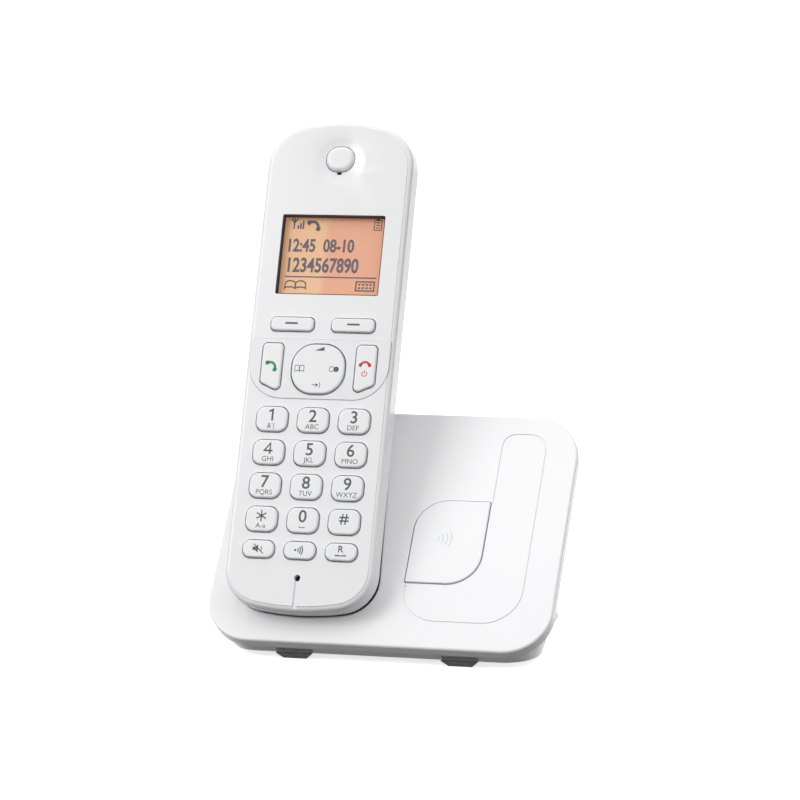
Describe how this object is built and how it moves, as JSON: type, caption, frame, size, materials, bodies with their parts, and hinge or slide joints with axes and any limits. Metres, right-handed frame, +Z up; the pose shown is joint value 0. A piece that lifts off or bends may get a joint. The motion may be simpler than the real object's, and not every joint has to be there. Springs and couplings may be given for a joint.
{
  "type": "cordless phone with base",
  "caption": "Cordless telephone handset with keypad and amber display, standing in the pocket of a sloping charging base with a leaf-shaped locator button.",
  "frame": {"origin": "on the table under the middle of the whole phone's plan, base and docked handset together", "axes": "+X to the right seen from the front, +Y to the back, +Z up"},
  "size_m": [0.1124, 0.0876, 0.1637],
  "materials": {
    "white_case": "glossy moulded ABS, white",
    "white_key": "moulded key caps, white, satin gloss, printed",
    "white_trim": "glossy moulded ABS, white",
    "clear_window": "clear acrylic, polished",
    "lit_display": "amber backlit liquid crystal display",
    "light_guide": "frosted acrylic",
    "keypad_rubber": "moulded silicone, pale grey",
    "circuit_board": "glass-fibre laminate, green solder mask",
    "speaker_metal": "pressed steel basket, dark",
    "contact_metal": "nickel-plated spring brass",
    "cell_jacket": "plain cell jacket, satin",
    "screw_steel": "zinc-plated steel",
    "black_plastic": "black moulded plastic",
    "foot_rubber": "grey rubber"
  },
  "bodies": {
    "base": {"base_top_cover": "white_case", "base_bottom_case": "white_case", "base_board": "circuit_board", "button_board": "circuit_board", "locator_switch": "black_plastic", "line_jack": "black_plastic", "power_jack": "black_plastic", "contact_holder": "black_plastic", "base_screws": "screw_steel", "foot_front_left": "foot_rubber", "foot_front_right": "foot_rubber", "foot_rear_left": "foot_rubber", "foot_rear_right": "foot_rubber"},
    "handset": {"handset_front_case": "white_case", "handset_rear_case": "white_case", "control_panel": "white_trim", "keypad_mat": "keypad_rubber", "display_window": "clear_window", "display_panel": "lit_display", "display_light_guide": "light_guide", "earpiece_cap": "white_trim", "receiver_speaker": "speaker_metal", "microphone": "keypad_rubber", "ringer_speaker": "speaker_metal", "handset_board": "circuit_board", "handset_antenna": "contact_metal", "battery_cell_left": "cell_jacket", "battery_cell_right": "cell_jacket", "battery_terminals_bottom": "contact_metal", "battery_terminals_top": "contact_metal", "handset_charge_plate_left": "contact_metal", "handset_charge_plate_right": "contact_metal", "handset_screws": "screw_steel"},
    "battery_door": {"battery_door": "white_case"},
    "nav_key": {"nav_key": "white_key"},
    "locator_button": {"locator_button": "white_case"},
    "charge_contact_left": {"charge_contact_left": "contact_metal"},
    "charge_contact_right": {"charge_contact_right": "contact_metal"},
    "talk_key": {"talk_key": "white_key"},
    "off_key": {"off_key": "white_key"},
    "soft_key_left": {"soft_key_left": "white_key"},
    "soft_key_right": {"soft_key_right": "white_key"},
    "key_1": {"key_1": "white_key"},
    "key_2": {"key_2": "white_key"},
    "key_3": {"key_3": "white_key"},
    "key_4": {"key_4": "white_key"},
    "key_5": {"key_5": "white_key"},
    "key_6": {"key_6": "white_key"},
    "key_7": {"key_7": "white_key"},
    "key_8": {"key_8": "white_key"},
    "key_9": {"key_9": "white_key"},
    "key_star": {"key_star": "white_key"},
    "key_0": {"key_0": "white_key"},
    "key_hash": {"key_hash": "white_key"},
    "key_mute": {"key_mute": "white_key"},
    "key_intercom": {"key_intercom": "white_key"},
    "key_recall": {"key_recall": "white_key"}
  },
  "joints": [
    {"name": "handset_lift", "type": "slide", "parent": "base", "child": "handset", "axis": [0, 0.4226, 0.9063], "range_m": [0, 0.09]},
    {"name": "battery_door_slide", "type": "slide", "parent": "handset", "child": "battery_door", "axis": [0, -0.4226, -0.9063], "range_m": [0, 0.006]},
    {"name": "nav_key_rock", "type": "hinge", "parent": "handset", "child": "nav_key", "pos_m": [-0.02445, -0.01004, 0.08795], "axis": [1, 0, 0], "range_deg": [-3, 3], "stiffness_Nm_per_rad": 0.15},
    {"name": "locator_button_press", "type": "slide", "parent": "base", "child": "locator_button", "axis": [0, 0.7431, -0.6691], "range_m": [0, 0.0008], "stiffness_N_per_m": 900},
    {"name": "charge_contact_left_press", "type": "slide", "parent": "base", "child": "charge_contact_left", "axis": [0, 0.4226, 0.9063], "range_m": [-0.0008, 0], "stiffness_N_per_m": 500},
    {"name": "charge_contact_right_press", "type": "slide", "parent": "base", "child": "charge_contact_right", "axis": [0, 0.4226, 0.9063], "range_m": [-0.0008, 0], "stiffness_N_per_m": 500},
    {"name": "talk_key_press", "type": "slide", "parent": "handset", "child": "talk_key", "axis": [0, 0.9063, -0.4226], "range_m": [0, 0.0006], "stiffness_N_per_m": 800},
    {"name": "off_key_press", "type": "slide", "parent": "handset", "child": "off_key", "axis": [0, 0.9063, -0.4226], "range_m": [0, 0.0006], "stiffness_N_per_m": 800},
    {"name": "soft_key_left_press", "type": "slide", "parent": "handset", "child": "soft_key_left", "axis": [0, 0.9063, -0.4226], "range_m": [0, 0.0006], "stiffness_N_per_m": 800},
    {"name": "soft_key_right_press", "type": "slide", "parent": "handset", "child": "soft_key_right", "axis": [0, 0.9063, -0.4226], "range_m": [0, 0.0006], "stiffness_N_per_m": 800},
    {"name": "key_1_press", "type": "slide", "parent": "handset", "child": "key_1", "axis": [0, 0.9063, -0.4226], "range_m": [0, 0.0006], "stiffness_N_per_m": 800},
    {"name": "key_2_press", "type": "slide", "parent": "handset", "child": "key_2", "axis": [0, 0.9063, -0.4226], "range_m": [0, 0.0006], "stiffness_N_per_m": 800},
    {"name": "key_3_press", "type": "slide", "parent": "handset", "child": "key_3", "axis": [0, 0.9063, -0.4226], "range_m": [0, 0.0006], "stiffness_N_per_m": 800},
    {"name": "key_4_press", "type": "slide", "parent": "handset", "child": "key_4", "axis": [0, 0.9063, -0.4226], "range_m": [0, 0.0006], "stiffness_N_per_m": 800},
    {"name": "key_5_press", "type": "slide", "parent": "handset", "child": "key_5", "axis": [0, 0.9063, -0.4226], "range_m": [0, 0.0006], "stiffness_N_per_m": 800},
    {"name": "key_6_press", "type": "slide", "parent": "handset", "child": "key_6", "axis": [0, 0.9063, -0.4226], "range_m": [0, 0.0006], "stiffness_N_per_m": 800},
    {"name": "key_7_press", "type": "slide", "parent": "handset", "child": "key_7", "axis": [0, 0.9063, -0.4226], "range_m": [0, 0.0006], "stiffness_N_per_m": 800},
    {"name": "key_8_press", "type": "slide", "parent": "handset", "child": "key_8", "axis": [0, 0.9063, -0.4226], "range_m": [0, 0.0006], "stiffness_N_per_m": 800},
    {"name": "key_9_press", "type": "slide", "parent": "handset", "child": "key_9", "axis": [0, 0.9063, -0.4226], "range_m": [0, 0.0006], "stiffness_N_per_m": 800},
    {"name": "key_star_press", "type": "slide", "parent": "handset", "child": "key_star", "axis": [0, 0.9063, -0.4226], "range_m": [0, 0.0006], "stiffness_N_per_m": 800},
    {"name": "key_0_press", "type": "slide", "parent": "handset", "child": "key_0", "axis": [0, 0.9063, -0.4226], "range_m": [0, 0.0006], "stiffness_N_per_m": 800},
    {"name": "key_hash_press", "type": "slide", "parent": "handset", "child": "key_hash", "axis": [0, 0.9063, -0.4226], "range_m": [0, 0.0006], "stiffness_N_per_m": 800},
    {"name": "key_mute_press", "type": "slide", "parent": "handset", "child": "key_mute", "axis": [0, 0.9063, -0.4226], "range_m": [0, 0.0006], "stiffness_N_per_m": 800},
    {"name": "key_intercom_press", "type": "slide", "parent": "handset", "child": "key_intercom", "axis": [0, 0.9063, -0.4226], "range_m": [0, 0.0006], "stiffness_N_per_m": 800},
    {"name": "key_recall_press", "type": "slide", "parent": "handset", "child": "key_recall", "axis": [0, 0.9063, -0.4226], "range_m": [0, 0.0006], "stiffness_N_per_m": 800}
  ]
}
